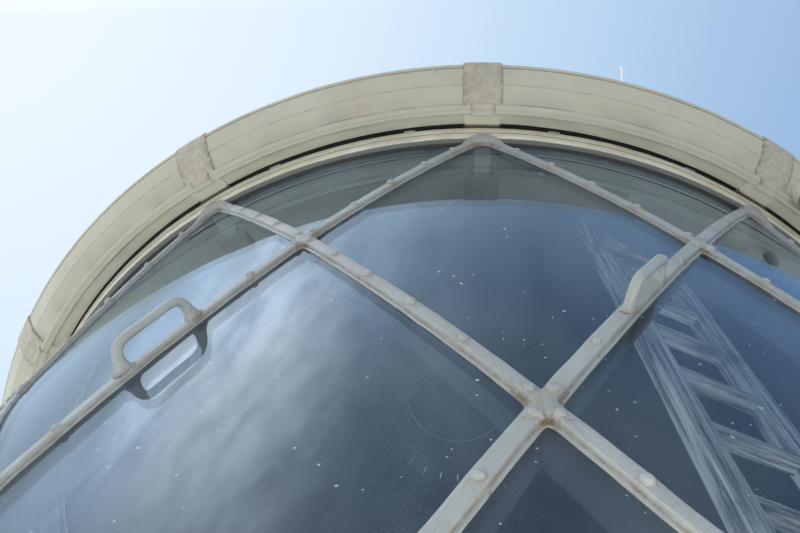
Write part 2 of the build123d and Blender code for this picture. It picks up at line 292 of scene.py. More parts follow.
# scales are counts per metre, and a pair named From says where a pattern begins and where it is full
barLook = {
    "follows": True,  # brush strokes run along the piece
    "base": (0.31, 0.34, 0.35),
    "older": (0.24, 0.255, 0.25),
    "patchScale": 5.0,
    "patchFrom": (0.38, 0.66),
    "brush": (260, 9, 1),
    "brushHeight": 0.7,
    "lumpScale": 38,
    "fineLumpScale": 95,
    "fineLumpHeight": 0.6,
    "dirt": (0.33, 0.30, 0.235),
    "dirtFrom": (0.48, 0.75),
    "dirtShare": 0.55,
    "rust": (0.15, 0.10, 0.055),
    "rustScale": 55,
    "rustFrom": (0.3, 0.6),
    "chip": (0.13, 0.09, 0.055),
    "chipScale": 42,
    "chipFrom": 0.69,
    "chipEdge": 0.03,
    "chipDepth": 0.3,
    "gritScale": 240,
    "gritFrom": (0.3, 0.75),
    "gritShare": 0.35,
    "gritHeight": 0.25,
    "under": (0.3, 0.3, 0.28),
    "underFrom": (-2.0, -1.5),  # past straight down, so the bars have no such faces
    "underWithin": 9.0,
    "underDull": 0.0,
    # painted shade: near black for the bars' webs behind the glass, in the dim inside of the lantern
    "inside": (0.028, 0.033, 0.040),
    "behindFrom": (glassRadius - 0.004, glassRadius - 0.001),
    "behindShare": 1.0,
    "turnedFrom": (-0.10, -0.02),
    "turnedShare": 0.0,
    # near black: painted shade for the dark ventilation gap and the shadow lines beside the bead
    "paintedShade": (0.006, 0.005, 0.005),
    "gloss": (0.5, 0.03),
    "roughFrom": (0.25, 0.8),
    "roughness": (0.38, 0.62),
    "bump": 1.0,
    "bumpDepth": 0.0035,
}
# painted shade: the rings' faces that look down take a darker colour
ringLook = dict(
    barLook, follows=False, base=(0.66, 0.62, 0.52), older=(0.53, 0.455, 0.33), patchScale=7.0,
    brush=(14, 14, 160), chipScale=60, bump=0.7, behindShare=0.0, under=(0.13, 0.135, 0.125),
    underFrom=(-0.9, -0.75))
# painted light: the cornice's faces turned to the middle, such as the fall between the bead and the gap, take
# a paler colour
corniceLook = dict(
    barLook, base=(0.435, 0.405, 0.325), older=(0.38, 0.34, 0.262), patchScale=3.2, brush=(120, 3.5, 1),
    brushHeight=0.35, dirt=(0.38, 0.36, 0.29), dirtShare=0.3, chipScale=30, chipFrom=0.72, bump=0.7,
    bumpDepth=0.002, behindShare=0.0, turnedShare=1.0, turnedFrom=(-1.2, 0.2), inside=(0.66, 0.635, 0.53))
# near black: painted shade for the dim inside of the lantern
insideShade = (0.010, 0.013, 0.018)
# painted shade: the roof's faces turned to the middle take the near-black colour
roofLook = dict(
    barLook, follows=False, base=(0.50, 0.495, 0.46), older=(0.43, 0.42, 0.38), patchScale=2.0,
    brush=(9, 9, 9), dirt=(0.34, 0.33, 0.29), chipScale=26, chipFrom=0.72, bump=0.5, behindShare=0.0,
    turnedShare=1.0, inside=insideShade)
# painted shade: the panels' faces that don't look up, and below them the ribs' and the ball's undersides,
# take the near-black colour
panelLook = dict(roofLook, under=insideShade, underFrom=(0.3, 0.5), underDull=1.0)
ribLook = dict(panelLook, underFrom=(-0.4, -0.2))
ballLook = dict(ribLook, underWithin=0.285)
wireLook = dict(barLook, base=(0.85, 0.85, 0.84), older=(0.80, 0.80, 0.78), chipFrom=0.9)
outletLook = dict(ringLook, base=(0.56, 0.54, 0.47))
ironLook = dict(
    ringLook, base=(0.13, 0.12, 0.11), older=(0.18, 0.12, 0.08), dirt=(0.2, 0.13, 0.08), patchScale=14)

barPaint = paintMaterial("barPaint", barLook)
ringPaint = paintMaterial("ringPaint", ringLook)
cornicePaint = paintMaterial("cornicePaint", corniceLook)
roofPaint = paintMaterial("roofPaint", roofLook)
panelPaint = paintMaterial("panelPaint", panelLook)
ribPaint = paintMaterial("ribPaint", ribLook)
ballPaint = paintMaterial("ballPaint", ballLook)
wirePaint = paintMaterial("wirePaint", wireLook)
outletPaint = paintMaterial("outletPaint", outletLook)
bracketIron = paintMaterial("bracketIron", ironLook)

glassLook = {
    "tint": (0.80, 0.85, 0.89, 1),
    "mirror": (0.74, 0.88, 1, 1),
    "mirrorRoughness": 0.02,
    "flatMirror": 0.03,
    "edgeMirror": 0.85,
    "dust": (0.62, 0.66, 0.70, 1),
    "dustScale": 2.6,
    "dustFrom": (0.42, 0.72),
    "dustShare": (0.004, 0.055),
    "speckScale": 70,
    "speckFrom": (0.775, 0.79),
    "speckShare": (0, 0.5),
}


def glassMaterial(name, look):
    # a clear tinted body, a mirror coat that is strong where the glass is seen aslant, and dust over both
    material, tree, shader = newMaterial(name)
    tree.nodes.remove(shader)
    place = addNode(tree, "TexCoord").outputs["Object"]
    clear = addNode(tree, "BsdfTransparent", values={"Color": look["tint"]})
    gloss = {"Color": look["mirror"], "Roughness": look["mirrorRoughness"]}
    mirror = addNode(tree, "BsdfGlossy", values=gloss)
    # mirror share = head-on share + edge share x (1 - cosine)^5, the same for both faces of a sheet
    facing = addNode(tree, "LayerWeight", values={"Blend": 0.5}).outputs["Facing"]
    grazing = times(maths("POWER", facing, 5.0), look["edgeMirror"])
    share = plus(grazing, look["flatMirror"])
    coat = addNode(tree, "MixShader", {0: share, 1: clear.outputs[0], 2: mirror.outputs[0]})
    clouds = noise(place, look["dustScale"], 7, 0.62, (1, 1, 0.5))
    film = between(clouds, *look["dustFrom"], look["dustShare"])
    specks = between(noise(place, look["speckScale"], 1), *look["speckFrom"], look["speckShare"])
    amount = plus(film, specks)
    dust = addNode(tree, "BsdfDiffuse", values={"Color": look["dust"]})
    whole = addNode(tree, "MixShader", {0: amount, 1: coat.outputs[0], 2: dust.outputs[0]})
    tree.links.new(whole.outputs[0], tree.nodes["Material Output"].inputs["Surface"])
    return material


glazing = glassMaterial("glazing", glassLook)

woodLook = {
    "pale": (0.50, 0.49, 0.45),
    "dark": (0.035, 0.035, 0.034),
    "grain": (70, 70, 3.0),
    "grainFrom": (0.38, 0.62),
    "patchScale": 6,
    "patchFrom": (0.5, 0.8),
    "roughness": (0.95, 0.75),
    "bump": {"Strength": 0.7, "Distance": 0.002},
    "turn": np.radians(22.5),
}


def woodMaterial(name, look):
    # grey grain stretched along the board, with darker cracks and pale weathered fibres
    material, tree, shader = newMaterial(name)
    place = addNode(tree, "TexCoord").outputs["Object"]
    turn = {"Rotation": (0, 0, look["turn"])}
    turned = addNode(tree, "Mapping", {"Vector": place}, turn, vector_type="TEXTURE")
    grain = noise(turned.outputs["Vector"], 1, 7, 0.7, look["grain"])
    patches = noise(place, look["patchScale"], 3)
    colour = blend(between(grain, *look["grainFrom"]), look["dark"], look["pale"])
    colour = blend(between(patches, *look["patchFrom"]), colour, look["dark"])
    plug(shader, "Base Color", colour)
    plug(shader, "Roughness", between(grain, 0.2, 0.8, look["roughness"]))
    bump = addNode(tree, "Bump", {"Height": grain}, look["bump"])
    plug(shader, "Normal", bump.outputs["Normal"])
    return material


stileWood = woodMaterial("stileWood", woodLook)
treadWood = woodMaterial("treadWood", dict(woodLook, grain=(3.5, 60, 60)))

# near black: painted shade for the shadow line where the glass meets the head ring
sealAndShadowLook = {"dark": (0.01, 0.01, 0.01), "pale": (0.05, 0.045, 0.04), "scale": 90, "roughness": (0.6, 0.9)}
sealAndShadowStrip, sealAndShadowTree, sealAndShadowShader = newMaterial("sealAndShadowStrip")
sealPlace = addNode(sealAndShadowTree, "TexCoord").outputs["Object"]
sealNoise = noise(sealPlace, sealAndShadowLook["scale"])
plug(sealAndShadowShader, "Base Color", blend(sealNoise, sealAndShadowLook["dark"], sealAndShadowLook["pale"]))
plug(sealAndShadowShader, "Roughness", between(sealNoise, 0.2, 0.8, sealAndShadowLook["roughness"]))

# the nodes that stay as the CAD has them
finishes = {
    "curb_ring": ringPaint,
    "gap_spacers": ringPaint,
    "eaves_ring": roofPaint,
    "roof_neck": roofPaint,
    "roof_ribs": ribPaint,
    "roof_panels": panelPaint,
    "vent_ball": ballPaint,
    "gutter_outlet": outletPaint,
    "ladder_stiles": stileWood,
    "ladder_treads": treadWood,
    "ladder_brackets": bracketIron,
}
for nodeName, material in finishes.items():
    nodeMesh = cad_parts[nodeName].data
    nodeMesh.materials.clear()
    nodeMesh.materials.append(material)
print("materials made")

# Bars: the section is carried along a helix on the drum
barValues = {
    "stations": 262,
    "webDepth": 0.105,
    "webStep": 0.001,  # the webs of the right bars are shallower by this
    "faceDepth": 0.0135,
    "intoRings": 0.007,
    "lump": 0.0006,
    "grooveStain": 0.7,
    "headStain": (0.45, 0.05),  # how strong under each crossing, and how far it runs down
    "footStain": (0.3, 0.02),
    "screwStain": (0.3, 0.035, 0.010),  # how strong, and how far it runs down and up
}
# distance from the middle of the face and depth below it, in millimetres
halfSection = np.array([
    (0.0, -0.1), (4.5, -0.1), (8.5, 0.0), (10.8, 0.5), (11.8, 1.8), (12.1, 4.5), (12.3, 7.8), (12.9, 9.5),
    (14.8, 10.0), (18.0, 9.8), (19.5, 10.4), (20.1, 11.8), (19.8, 13.0), (7.0, 13.0), (7.0, 58.0),
    (7.0, 105.0),
]) / 1000
# on its upper side the face runs on in one curve to the edge
upperHalf = np.array([
    (0.0, -0.1), (4.5, -0.1), (8.5, 0.0), (10.8, 0.3), (12.6, 0.7), (14.2, 1.3), (15.8, 2.2), (17.2, 3.4),
    (18.4, 5.0), (19.3, 7.0), (19.9, 9.4), (20.1, 11.8), (19.8, 13.0), (7.0, 13.0), (7.0, 58.0), (7.0, 105.0),
]) / 1000
# how much dirt each point of the two halves holds
barGroove = np.array([0, 0, 0, 0, 0, 0.1, 0.6, 1.2, 0.35, 0, 0, 0.4, 0.9, 0, 0, 0])
upperGroove = np.array([0, 0, 0, 0, 0, 0, 0, 0, 0, 0, 0.2, 0.6, 0.9, 0, 0, 0])
# how far down from a crossing each screw sits, as a share of a row
screwRows = (0.207, 0.39, 0.583, 0.772)


def helixBar(number, side, webDepth):
    # angle = start + side x half a bay for each row down + distance across / (radius x cosine of the slope)
    halves = (upperHalf, halfSection) if side > 0 else (halfSection, upperHalf)
    grooves = (upperGroove, barGroove) if side > 0 else (barGroove, upperGroove)
    section = np.concatenate([halves[0], halves[1][:0:-1] * (-1, 1)])
    groove = np.concatenate([grooves[0], grooves[1][:0:-1]])
    across, depth = section[:, 0], np.minimum(section[:, 1], webDepth)
    # the girth is measured both ways from the middle of the face, so its jump lies on the web's hidden edge
    girth = np.concatenate([runLength(halves[0]), -runLength(halves[1])[:0:-1]])
    low, high = curbTop - barValues["intoRings"], ringBottom + barValues["intoRings"]
    heights = np.linspace(low, high, barValues["stations"])[:, None]
    down = (topNode - heights) / rowHeight
    place = stacked(girth + 0.13 * number, down * rowHeight / np.cos(slope), side + 0.37 * number)
    shown = depth < barValues["faceDepth"]
    lump = ripple(place, 0.11, 5) * barValues["lump"] + ripple(place, 0.02, 6) * barValues["lump"] * 0.4
    radius = faceRadius - depth + np.where(shown, lump, 0)
    wide = across * (1 + np.where(shown, ripple(place, 0.06, 7) * 0.03, 0))
    centre = number * bay + side * down * bay / 2
    points = onDrum(centre + wide / (radius * np.cos(slope)), heights, radius)
    part = down % 1
    strength, run = barValues["headStain"]
    stain = groove * barValues["grooveStain"] + np.exp(-part * rowHeight / run) * strength
    strength, run = barValues["footStain"]
    stain = stain + np.exp(-(1 - part) * rowHeight / run) * strength
    strength, runDown, runUp = barValues["screwStain"]
    for screw in screwRows:
        below = (part - screw) * rowHeight
        stain = stain + strength * np.exp(-np.where(below > 0, below / runDown, -below / runUp))
    return points[None], place[None], np.where(shown, stain, 0)[None]


for number in range(lattice["bays"]):
    for side, label, less in ((-1, "left", 0), (1, "right", barValues["webStep"])):
        bar = helixBar(number, side, barValues["webDepth"] - less)
        nodeName = f"{label}_bar_{number + 1:02d}"
        tubeMesh(f"{label}Bar{number + 1:02d}", [bar], barPaint, [nodeName])
print("bars made")

# Covers of the crossings, and the forks under the head ring and over the curb
coverValues = {
    "arm": 0.055,
    "armCut": 0.0025,
    "notchCut": 0.016,
    "forkDrop": 0.012,
    "forkTop": 0.42,  # the width of a fork's upper edge, as a share of what the slopes would give
    "ontoRing": 0.020,
    "climbRun": 0.030,
    "climbStart": 0.8,
    "ringStep": 0.0165,
    "ringLean": 0.19,
    "curbStep": 0.007,
    "lump": 0.0008,
    "stain": 0.24,
    "grooveStain": 0.9,
    "grooveDepth": (0.0092, 0.0025),  # its middle and its spread
    # half width, depth and extra length of the outline from the face down to the glass, in millimetres
    "rings": ((6.0, -1.2, 0.0), (9.6, -1.1, 0.0), (11.3, -0.5, -0.6), (12.3, 1.0, 0.3), (12.6, 4.5, 0.6),
              (12.8, 8.2, 0.8), (13.6, 9.3, 1.0), (17.4, 9.1, 1.0), (19.9, 9.8, 1.5), (20.8, 11.6, 1.8),
              (20.4, 13.3, 1.6)),
}
crossNodes = np.array([(angle + (row % 2) * bay / 2, topNode - row * rowHeight)
                       for row in range(1, lattice["rows"]) for angle in bayAngles])


def crossOutline(half, extra):
    # four arms along the two slopes, with the corners between them drawn out into soft notches
    lean = np.array([slope, np.pi - slope, np.pi + slope, -slope])
    reach = coverValues["arm"] + extra
    ahead = stacked(np.sin(lean), np.cos(lean))
    aside = stacked(np.cos(lean), -np.sin(lean))
    wide, tall = 1 / np.cos(slope), 1 / np.sin(slope)
    notch = np.array([[wide, 0], [0, -tall], [-wide, 0], [0, tall]])
    corners = [ahead * reach - aside * half, ahead * reach + aside * half, notch * half]
    cuts = np.tile([coverValues["armCut"]] * 2 + [coverValues["notchCut"]], 4)
    return softCorners(np.stack(corners, 1).reshape(-1, 2), cuts, 5)


def forkOutline(half, extra):
    # two arms that spread downwards from the ring, with a plate between them under the ring
    hidden = topNode - ringBottom
    reach = hidden / np.cos(slope) + coverValues["arm"] + extra
    ahead = np.array([np.sin(slope), -np.cos(slope)])
    aside = np.array([np.cos(slope), np.sin(slope)])
    top = -hidden + coverValues["ontoRing"]
    drop = -hidden - coverValues["forkDrop"] - (half - 0.012)
    outer = np.array([(-top * np.tan(slope) + half / np.cos(slope)) * coverValues["forkTop"], top])
    shoulder = np.array([hidden * np.tan(slope) + half / np.cos(slope), -hidden])
    inner = np.array([-drop * np.tan(slope) - half / np.cos(slope), drop])
    rightHalf = np.array([outer, shoulder, ahead * reach + aside * half, ahead * reach - aside * half, inner])
    corners = np.concatenate([rightHalf, rightHalf[::-1] * (-1, 1)])
    cuts = [0.003, 0.006] + [coverValues["armCut"]] * 2 + [0.006]
    return softCorners(corners, cuts + cuts[::-1], 5)


def coverTubes(outline, nodes, flip=1):
    # rings of one outline that widens with depth, laid on the drum round every node
    halves, depths, extras = np.array(coverValues["rings"]).T / 1000
    flat = np.stack([outline(half, extra) for half, extra in zip(halves, extras)])
    angle, height = nodes[:, 0, None, None], nodes[:, 1, None, None]
    up = height + flip * flat[..., 1]
    place = stacked(angle * 3 + flat[..., 0], up, 0.0)
    climb = 0
    if outline is forkOutline:
        # over the edge of a ring the fork climbs onto its face; the head ring's face also leans outwards
        past = flat[..., 1] + topNode - ringBottom
        step = coverValues["ringStep"] if flip > 0 else coverValues["curbStep"]
        climb = np.clip(past / coverValues["climbRun"] + coverValues["climbStart"], 0, 1) * step
        climb = climb + np.clip(past, 0, 1) * (coverValues["ringLean"] if flip > 0 else 0)
    radius = faceRadius - depths[:, None] + climb + ripple(place, 0.05, 12) * coverValues["lump"]
    points = onDrum(angle + flat[..., 0] / faceRadius, up, radius)
    middle, spread = coverValues["grooveDepth"]
    groove = np.exp(-((depths - middle) / spread) ** 2)[:, None] * coverValues["grooveStain"]
    return points, place, groove + coverValues["stain"]


bottomNode = topNode - lattice["rows"] * rowHeight
covers = [
    coverTubes(crossOutline, crossNodes),
    coverTubes(forkOutline, stacked(bayAngles, topNode)),
    coverTubes(forkOutline, stacked(bayAngles, bottomNode), -1),
]
tubeMesh("crossingCovers", covers, barPaint, ["crossing_covers"])

# Screw heads under thick paint: low domes on a skirt
screwValues = {"radius": 0.0100, "tall": 0.0078, "across": 0.0015, "crossUp": 0.033, "crossAside": 0.017}
# radius and height of each ring of a dome, and how stained it is
domeRings = np.array([(1.45, -0.25), (1.18, 0.10), (1.02, 0.42), (0.84, 0.74), (0.56, 0.94), (0.22, 1.0)])
domeStain = np.array([1.0, 0.9, 0.35, 0.1, 0.05, 0.05])


def domes(angles, heights, radii, size, tall, seed, around=12, lean=0.0):
    # rings round each centre: across = r cos, up = r sin, outwards = height of the ring
    spots = np.broadcast_arrays(angles, heights, radii)
    angles, heights, radii = (np.asarray(spot, float).reshape(-1, 1, 1) for spot in spots)
    seeded = np.random.default_rng(seed)
    scale = seeded.uniform(0.85, 1.15, (len(angles), 1, 1))
    turn = np.linspace(0, 2 * np.pi, around, endpoint=False)
    wobble = 1 + 0.06 * np.sin(2 * turn + seeded.uniform(0, 6, (len(angles), 1, 1)))
    ring = domeRings[:, 0][:, None] * size * scale * wobble
    out = domeRings[:, 1][:, None] * tall * scale
    across, up = ring * np.cos(turn), ring * np.sin(turn)
    points = onDrum(angles + across / radii, heights + up, radii + out + lean * up)
    return points, stacked(angles * 7 + across, heights + up, radii), domeStain[:, None]


down = (np.arange(lattice["rows"])[:, None] + np.array(screwRows)).ravel()
level = topNode - down * rowHeight + screwValues["across"] * np.sin(slope)
spots = []
for side in (-1, 1):
    aside = side * screwValues["across"] * np.cos(slope) / faceRadius
    spots.append(stacked(bayAngles[:, None] + side * down * bay / 2 + aside, level).reshape(-1, 2))
for rise, side in ((1, -1), (1, 1), (-1, -1), (-1, 1)):
    aside = side * screwValues["crossAside"] / faceRadius
    spots.append(crossNodes + (aside, rise * screwValues["crossUp"]))
angles, heights = np.concatenate(spots).T
screws = domes(angles, heights, faceRadius - 0.001, screwValues["radius"], screwValues["tall"], 21)
tubeMesh("glazingScrews", [screws], barPaint)

# Bolts in the head ring, whose face leans outwards
boltValues = {"perBay": 8, "below": 0.036, "out": 1.8553, "radius": 0.006, "tall": 0.0022, "lean": 0.315}
boltAngles = (np.arange(lattice["bays"] * boltValues["perBay"]) + 0.5) * bay / boltValues["perBay"]
points, place, stain = domes(boltAngles, ringTop - boltValues["below"], boltValues["out"],
                             boltValues["radius"], boltValues["tall"], 22, lean=boltValues["lean"])
tubeMesh("ringBolts", [(points, place, stain * 0.4 + 0.6)], ringPaint)
print("covers and screws made")

# Hand-holds: a soft bridge whose section flares at its two feet
holdValues = {
    "rows": {"upper_hand_holds": 1.5, "middle_hand_holds": 2.5, "lower_hand_holds": 3.5},
    "half": 0.095,
    "lean": 0.007,
    "out": 0.0525,
    "corner": 0.032,
    "wide": 0.021,
    "thick": 0.0185,
    "square": 0.75,  # below one, it squares the round section a little
    "footFlare": (1.5, 0.013),  # how much thicker a foot is, and over what height
    "footSpread": (0.22, 0.006),
    "lump": 0.0005,
    "stainRun": 0.004,
}


def handHolds(row):
    # across the path: half width x sine sideways, half thickness x cosine in the plane of the bridge
    half, out = holdValues["half"], holdValues["out"]
    top = half - holdValues["lean"]
    bends = [(-half, -0.002), (-top, out), (top, out), (half, -0.002)]
    path = softCorners(bends, holdValues["corner"], 11, False)
    legs = np.linspace(0, 1, 7)[:-1, None]
    firstLeg = path[0] + (path[1] - path[0]) * legs
    lastLeg = path[-1] + (path[-2] - path[-1]) * legs
    path = np.concatenate([firstLeg, path[1:-1], lastLeg[::-1]])
    ahead = unit(np.gradient(path, axis=0))
    inward = stacked(ahead[:, 1], -ahead[:, 0])
    growth, run = holdValues["footFlare"]
    flare = 1 + growth * np.exp(-path[:, 1] / run)
    growth, run = holdValues["footSpread"]
    spread = 1 + growth * np.exp(-path[:, 1] / run)
    turn = np.linspace(0, 2 * np.pi, 18, endpoint=False)
    cosine = np.sign(np.cos(turn)) * np.abs(np.cos(turn)) ** holdValues["square"]
    sine = np.sign(np.sin(turn)) * np.abs(np.sin(turn)) ** holdValues["square"]
    inPlane = (flare[:, None] * holdValues["thick"] / 2) * cosine
    along = path[:, 0, None] + inward[:, 0, None] * inPlane
    outwards = path[:, 1, None] + inward[:, 1, None] * inPlane
    sideways = (spread[:, None] * holdValues["wide"] / 2) * sine
    place = stacked(sideways, along, outwards)
    outwards = outwards + ripple(place, 0.03, 31) * holdValues["lump"]
    across = along * np.sin(slope) + sideways * np.cos(slope)
    up = along * np.cos(slope) - sideways * np.sin(slope)
    middle = (bayAngles - row * bay / 2)[:, None, None]
    points = onDrum(middle + across / faceRadius, topNode - row * rowHeight + up, faceRadius + outwards)
    stain = np.exp(-np.maximum(path[:, 1], 0) / holdValues["stainRun"])[:, None]
    return points, place + bayAngles[:, None, None, None], stain


for nodeName, row in holdValues["rows"].items():
    tubeMesh(nodeName.split("_")[0] + "HandHolds", [handHolds(row)], barPaint, [nodeName])
print("hand-holds made")

# Panes: a skewed grid between the bars on two cylinders, with a faint wave as in old glass
paneValues = {
    "rows": {"top_panes": 0, "upper_panes": 1, "middle_panes": 2, "lower_panes": 3, "bottom_panes": 4},
    "webHalf": 0.007,
    "gap": 0.005,
    "steps": 26,
    "wave": 0.00012,
    "waveLength": 0.9,
    "tip": 0.999,  # an end pane stops just short of its point
}


def paneShell(flat, nodes):
    # flat is rows x columns x (across, up); a ring of points runs over the outside and back over the inside
    angle = nodes[:, 0, None, None] + flat[..., 0] / faceRadius
    height = nodes[:, 1, None, None] + flat[..., 1]
    wave = ripple(stacked(angle * 1.8, height, 1.0), paneValues["waveLength"], 41) * paneValues["wave"]
    outside = onDrum(angle, height, glassRadius + wave)
    inside = onDrum(angle, height, lattice["glassInner"] + wave)
    return np.concatenate([outside, inside[:, :, ::-1]], axis=2)


def paneTubes(row):
    # whole panes are rhombs: place = corner + u x one side + v x the other; end panes are triangles
    halfWidth = faceRadius * np.sin(bay / 2)
    margin = paneValues["webHalf"] + paneValues["gap"]
    diagonal = np.hypot(halfWidth, rowHeight)
    wide = halfWidth - margin * diagonal / rowHeight
    tall = rowHeight - margin * diagonal / halfWidth
    share = np.linspace(0, 1, paneValues["steps"])
    u, v = np.meshgrid(share, share, indexing="ij")
    height = topNode - row * rowHeight
    if row in (0, lattice["rows"]):
        edge, tip = (ringBottom - height, -tall) if row == 0 else (curbTop - height, tall)
        up = edge + (tip * paneValues["tip"] - edge) * u
        across = wide * (1 - np.abs(up) / tall) * (2 * v - 1)
    else:
        across = wide * (u + v - 1)
        up = tall * (u - v)
    return paneShell(stacked(across, up), stacked(bayAngles + ((row + 1) % 2) * bay / 2, height))


for nodeName, row in paneValues["rows"].items():
    tubeMesh(nodeName.split("_")[0] + "Panes", [(paneTubes(row),)], glazing, [nodeName])
print("panes made")

# Cornice gutter: one outline in radius and height, turned round each bay
gutterValues = {
    "base": ringTop + 0.021,
    "inner": 1.874,
    "flange": 0.114,
    "bead": (1.9325, -0.038, 0.017),
    "crease": (2.007, 0.001),
    "rim": (2.067, 0.069),
    "notch": (2.0523, 0.0615),
    "wall": 0.010,
    "lip": 0.012,
    "joint": 0.004,
    "stations": 44,
    "lump": 0.0006,
    "beadStain": 0.10,
    # the crease and the notch take the rust colour as painted shade
    "creasePaintedShade": 0.40,
    "notchPaintedShade": 0.8,
    "jointStain": 0.35,
    # where the two painted shadow lines beside the bead run, and how wide they are
    "beadShadowLines": ((1.9154, -0.0365), (1.9496, -0.0365)),
    "beadShadowWidth": 0.0026,
}


def beadCorners(grow, points=9):
    # the lower half of the bead as corners on a circle, a little past level at both ends
    turn = np.linspace(np.pi * 0.96, np.pi * 2.04, points)
    middle, level, radius = gutterValues["bead"]
    return [(middle + (radius + grow) * np.cos(a), level + (radius + grow) * np.sin(a)) for a in turn]


def gutterOutline():
    # from the flange out along the underside and up to the rim, and back along the top
    inner, wall = gutterValues["inner"], gutterValues["wall"]
    rimRadius, rimHeight = gutterValues["rim"]
    creaseRadius, creaseHeight = gutterValues["crease"]
    top = rimHeight + wall + gutterValues["lip"]
    roll = np.linspace(-2.7, 1.3, 7)
    rollRadius = rimRadius - 0.0115 + 0.0075 * np.cos(roll)
    rollHeight = rimHeight + 0.0005 + 0.0075 * np.sin(roll)
    under = [(inner - gutterValues["flange"], 0), (inner, 0), (inner + 0.0030, -0.0026),
             (inner + 0.0038, -0.0033), *beadCorners(0), (creaseRadius, creaseHeight),
             (rimRadius - 0.0150, rimHeight - 0.017), (rimRadius - 0.0145, rimHeight - 0.007),
             *zip(rollRadius, rollHeight), (rimRadius - 0.0075, top)]
    over = [(rimRadius - wall - 0.005, top), (rimRadius - wall - 0.006, rimHeight + wall * 0.6),
            (creaseRadius - 0.002, creaseHeight + wall), (1.946, -0.028), (1.919, -0.028),
            (inner + 0.003, wall), (inner - gutterValues["flange"], wall)]
    cuts = [0.002, 0.001, 0.0002, 0.0002] + [0.0028] * 9 + [0.005, 0.002, 0.0015] + [0.0018] * 7 + [0.002]
    cuts += [0.002, 0.003, 0.006, 0.004, 0.004, 0.004, 0.002]
    return softCorners(under + over, cuts, 4)


def aroundBays(outline, start, end, stations):
    # every outline point turned from start to end angle in each bay, with slow waves in the metal
    angle = (bayAngles[:, None] + np.linspace(start, end, stations))[:, :, None]
    radius, height = outline[:, 0], outline[:, 1] + gutterValues["base"]
    spot = stacked(radius, angle * 2.0, height)
    wave = ripple(spot, 0.25, 51) * gutterValues["lump"]
    fine = ripple(spot, 0.05, 52) * gutterValues["lump"] * 0.5
    place = stacked(runLength(outline), angle * 2.0, 0.0)
    return onDrum(angle, height + wave * 0.6 + fine, radius + wave), place


def distanceTo(line, spot):
    return np.hypot(line[:, 0] - spot[0], line[:, 1] - spot[1])


gutterLine = gutterOutline()
jointHalf = gutterValues["joint"] / gutterValues["crease"][0] / 2
points, place = aroundBays(gutterLine, jointHalf, bay - jointHalf, gutterValues["stations"])
# stains lie on the bead and beside the joints; the rust colour in the crease and in the notch under the rim
# is painted shade
toJoint = np.abs((np.linspace(0, 1, gutterValues["stations"]) + 0.5) % 1 - 0.5)[:, None]
toBead = (gutterLine[:, 0] - gutterValues["bead"][0]) / 0.022
stain = np.exp(-(toBead ** 8)) * gutterValues["beadStain"]
stain = stain + gutterValues["creasePaintedShade"] * (distanceTo(gutterLine, (gutterValues["crease"][0], 0)) < 0.004)
stain = stain + gutterValues["notchPaintedShade"] * (distanceTo(gutterLine, gutterValues["notch"]) < 0.003)
stain = stain + gutterValues["jointStain"] * np.exp(-toJoint / 0.01)
# painted shade: the flange over the ventilation gap is painted near black for the dark gap
paintedShade = ((gutterLine[:, 0] < gutterValues["inner"] + 0.0033) & (gutterLine[:, 1] < 0.003)) * 1.0
# painted shadow: a broken dark line runs along both sides of the bead
besideBead = np.minimum(*(distanceTo(gutterLine, spot) for spot in gutterValues["beadShadowLines"]))
broken = np.clip(0.34 + 0.5 * ripple(points, 0.11, 91), 0.1, 0.75)
paintedShade = np.clip(paintedShade + np.exp(-((besideBead / gutterValues["beadShadowWidth"]) ** 2)) * broken, 0, 1)
tubeMesh("corniceGutter", [(points, place, stain, paintedShade)], cornicePaint, ["cornice_gutter"])

# Straps under the joints, each with a sleeve on the bead and a heel in the ventilation gap
strapValues = {
    "half": 0.0330,
    "thick": 0.006,
    "stations": 15,
    "middle": (1.95, 0.0),
    "endDepth": 0.0012,
    "sleeveHalf": 0.0202,
    "sleeveGrow": 0.0055,
    "sleeveStations": 11,
    "sleeveMiddle": (1.9325, -0.036),
    "sleeveEndDepth": 0.004,
    "lump": 0.0005,
    "heelShade": 0.9,
}


def strapOutline():
    # from the heel out along the underside and over the rim, and back inside the gutter's wall
    inner, thick = gutterValues["inner"], strapValues["thick"]
    rimRadius, rimHeight = gutterValues["rim"]
    creaseRadius, creaseHeight = gutterValues["crease"]
    gap = gutterValues["base"] - ringTop
    top = rimHeight + gutterValues["wall"] + gutterValues["lip"]
    outer = [(inner - 0.044, -gap), (inner + 0.001, -gap), (inner + 0.002, -thick),
             (1.9165, -0.038 - thick * 0.9), (1.9485, -0.038 - thick * 0.9),
             (creaseRadius + 0.001, creaseHeight - thick), (rimRadius - 0.001, rimHeight - thick),
             (rimRadius, top + 0.004), (rimRadius - 0.022, top + 0.004)]
    back = [(rimRadius - 0.022, top - 0.002), (rimRadius - 0.010, top - 0.004),
            (rimRadius - 0.011, rimHeight + 0.003), (creaseRadius - 0.001, creaseHeight + 0.005),
            (1.945, -0.033), (1.921, -0.033), (inner + 0.002, 0.004), (inner - 0.044, 0.004)]
    cuts = [0.001, 0.004, 0.003, 0.007, 0.007, 0.006, 0.004, 0.003, 0.002, 0.001, 0.002] + [0.003] * 6
    return softCorners(outer + back, cuts, 4)


